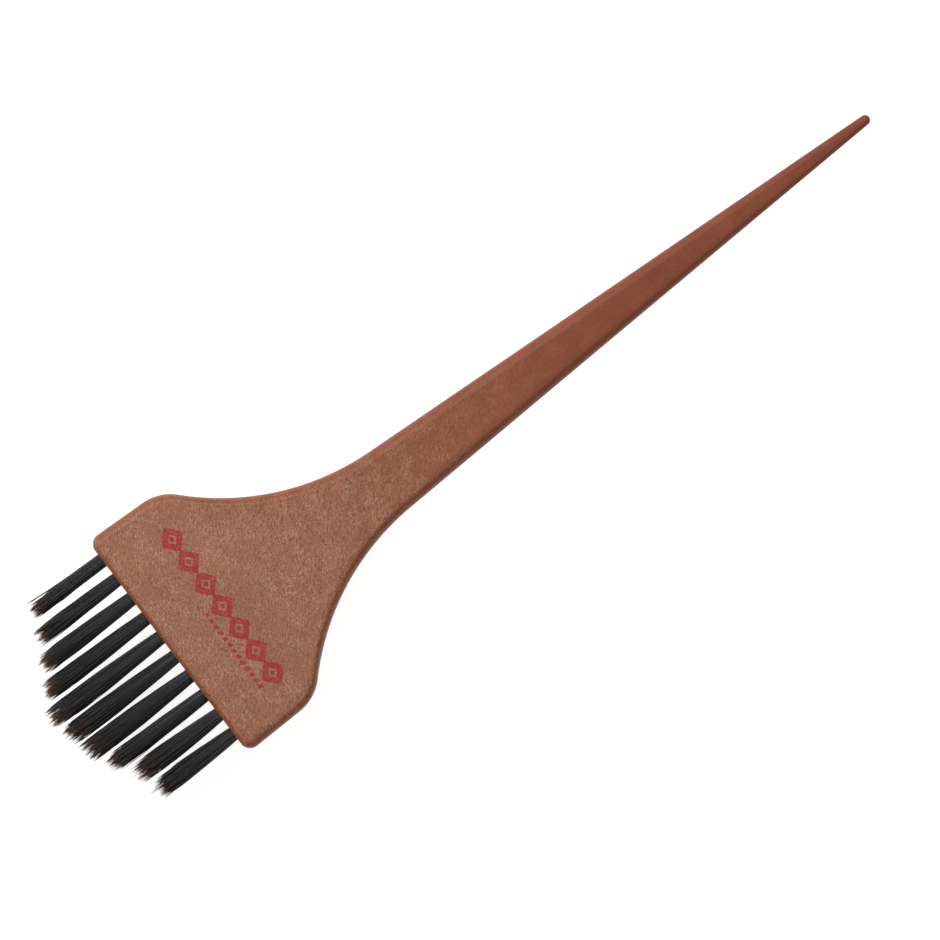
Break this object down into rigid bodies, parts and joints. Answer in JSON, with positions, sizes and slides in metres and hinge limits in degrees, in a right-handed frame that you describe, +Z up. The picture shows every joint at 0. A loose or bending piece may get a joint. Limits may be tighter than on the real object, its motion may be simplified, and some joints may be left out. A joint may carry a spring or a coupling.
{
  "type": "tint brush",
  "caption": "Flat tint brush for applying hair colour: a wide head tapers into a slim pointed tail, with one row of crowned bristle tufts in its front face.",
  "frame": {"origin": "on the plane of the head's underside, midway between the end of the longest tuft and the tip of the tail", "axes": "+Y along the handle towards the tip of its tail, with the tufts towards -Y; +X across the head; +Z up through the thickness"},
  "size_m": [0.0572, 0.22, 0.0075],
  "materials": {
    "handle": "satin",
    "anchor_wire": "satin",
    "bristle": "satin"
  },
  "bodies": {
    "handle": {"handle": "handle", "anchor_01": "anchor_wire", "anchor_02": "anchor_wire", "anchor_03": "anchor_wire", "anchor_04": "anchor_wire", "anchor_05": "anchor_wire", "anchor_06": "anchor_wire", "anchor_07": "anchor_wire", "anchor_08": "anchor_wire", "anchor_09": "anchor_wire", "anchor_10": "anchor_wire", "tuft_root_01": "bristle", "tuft_root_02": "bristle", "tuft_root_03": "bristle", "tuft_root_04": "bristle", "tuft_root_05": "bristle", "tuft_root_06": "bristle", "tuft_root_07": "bristle", "tuft_root_08": "bristle", "tuft_root_09": "bristle", "tuft_root_10": "bristle"},
    "tuft_01": {"tuft_01": "bristle"},
    "tuft_02": {"tuft_02": "bristle"},
    "tuft_03": {"tuft_03": "bristle"},
    "tuft_04": {"tuft_04": "bristle"},
    "tuft_05": {"tuft_05": "bristle"},
    "tuft_06": {"tuft_06": "bristle"},
    "tuft_07": {"tuft_07": "bristle"},
    "tuft_08": {"tuft_08": "bristle"},
    "tuft_09": {"tuft_09": "bristle"},
    "tuft_10": {"tuft_10": "bristle"}
  },
  "joints": [
    {"name": "tuft_01_flex", "type": "hinge", "parent": "handle", "child": "tuft_01", "pos_m": [-0.0236, -0.08, 0.00375], "axis": [1, 0, 0], "range_deg": [-25, 25], "stiffness_Nm_per_rad": 0.00514},
    {"name": "tuft_02_flex", "type": "hinge", "parent": "handle", "child": "tuft_02", "pos_m": [-0.01838, -0.08, 0.00375], "axis": [1, 0, 0], "range_deg": [-25, 25], "stiffness_Nm_per_rad": 0.00445},
    {"name": "tuft_03_flex", "type": "hinge", "parent": "handle", "child": "tuft_03", "pos_m": [-0.01316, -0.08, 0.00375], "axis": [1, 0, 0], "range_deg": [-25, 25], "stiffness_Nm_per_rad": 0.00394},
    {"name": "tuft_04_flex", "type": "hinge", "parent": "handle", "child": "tuft_04", "pos_m": [-0.00793, -0.08, 0.00375], "axis": [1, 0, 0], "range_deg": [-25, 25], "stiffness_Nm_per_rad": 0.00354},
    {"name": "tuft_05_flex", "type": "hinge", "parent": "handle", "child": "tuft_05", "pos_m": [-0.00271, -0.08, 0.00375], "axis": [1, 0, 0], "range_deg": [-25, 25], "stiffness_Nm_per_rad": 0.00326},
    {"name": "tuft_06_flex", "type": "hinge", "parent": "handle", "child": "tuft_06", "pos_m": [0.00251, -0.08, 0.00375], "axis": [1, 0, 0], "range_deg": [-25, 25], "stiffness_Nm_per_rad": 0.0032},
    {"name": "tuft_07_flex", "type": "hinge", "parent": "handle", "child": "tuft_07", "pos_m": [0.00773, -0.08, 0.00375], "axis": [1, 0, 0], "range_deg": [-25, 25], "stiffness_Nm_per_rad": 0.00343},
    {"name": "tuft_08_flex", "type": "hinge", "parent": "handle", "child": "tuft_08", "pos_m": [0.01296, -0.08, 0.00375], "axis": [1, 0, 0], "range_deg": [-25, 25], "stiffness_Nm_per_rad": 0.00379},
    {"name": "tuft_09_flex", "type": "hinge", "parent": "handle", "child": "tuft_09", "pos_m": [0.01818, -0.08, 0.00375], "axis": [1, 0, 0], "range_deg": [-25, 25], "stiffness_Nm_per_rad": 0.00426},
    {"name": "tuft_10_flex", "type": "hinge", "parent": "handle", "child": "tuft_10", "pos_m": [0.0234, -0.08, 0.00375], "axis": [1, 0, 0], "range_deg": [-25, 25], "stiffness_Nm_per_rad": 0.00488}
  ]
}
